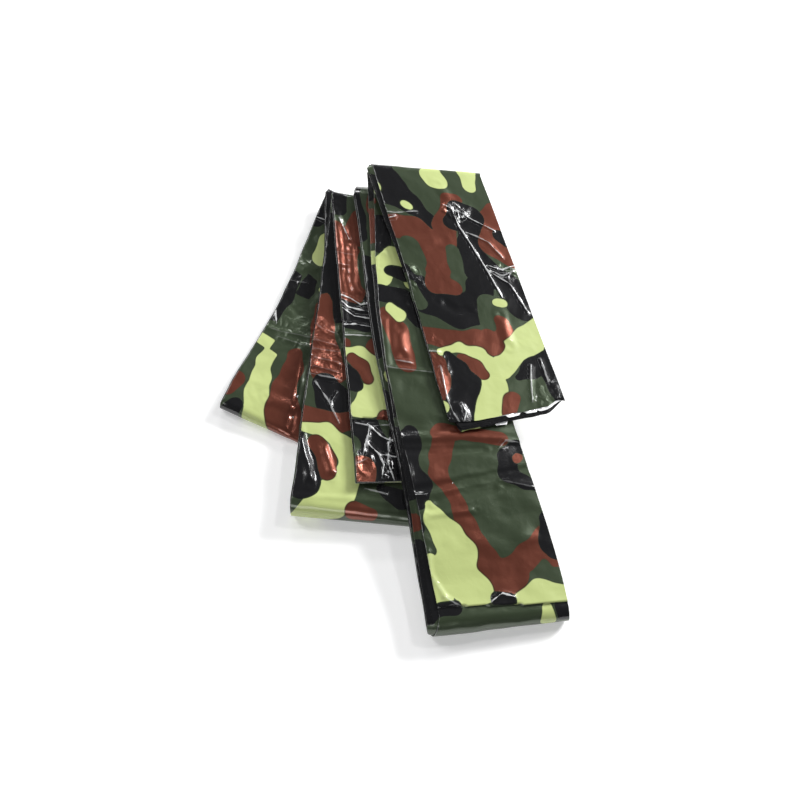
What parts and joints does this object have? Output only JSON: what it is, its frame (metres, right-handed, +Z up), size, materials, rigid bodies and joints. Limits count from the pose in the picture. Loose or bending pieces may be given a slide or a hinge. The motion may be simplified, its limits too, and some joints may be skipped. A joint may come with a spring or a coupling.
{
  "type": "emergency sleeping bag",
  "caption": "Emergency sleeping bag of thin printed film, folded lengthwise into a narrow flat bundle, then back and forth, and fanned out as it lies.",
  "frame": {"origin": "centre of the bounding box in plan, on the surface that the folded bag lies on", "axes": "+Z up, +Y along the fan towards its upper creases, +X from the closed edge of the bundle to its open ply edges"},
  "size_m": [0.2613, 0.3768, 0.0434],
  "materials": {
    "printed_film": "glossy metallised film with a woodland camouflage print, creased and crinkled"
  },
  "bodies": {
    "root": {"folded_bag": "printed_film"}
  },
  "joints": []
}
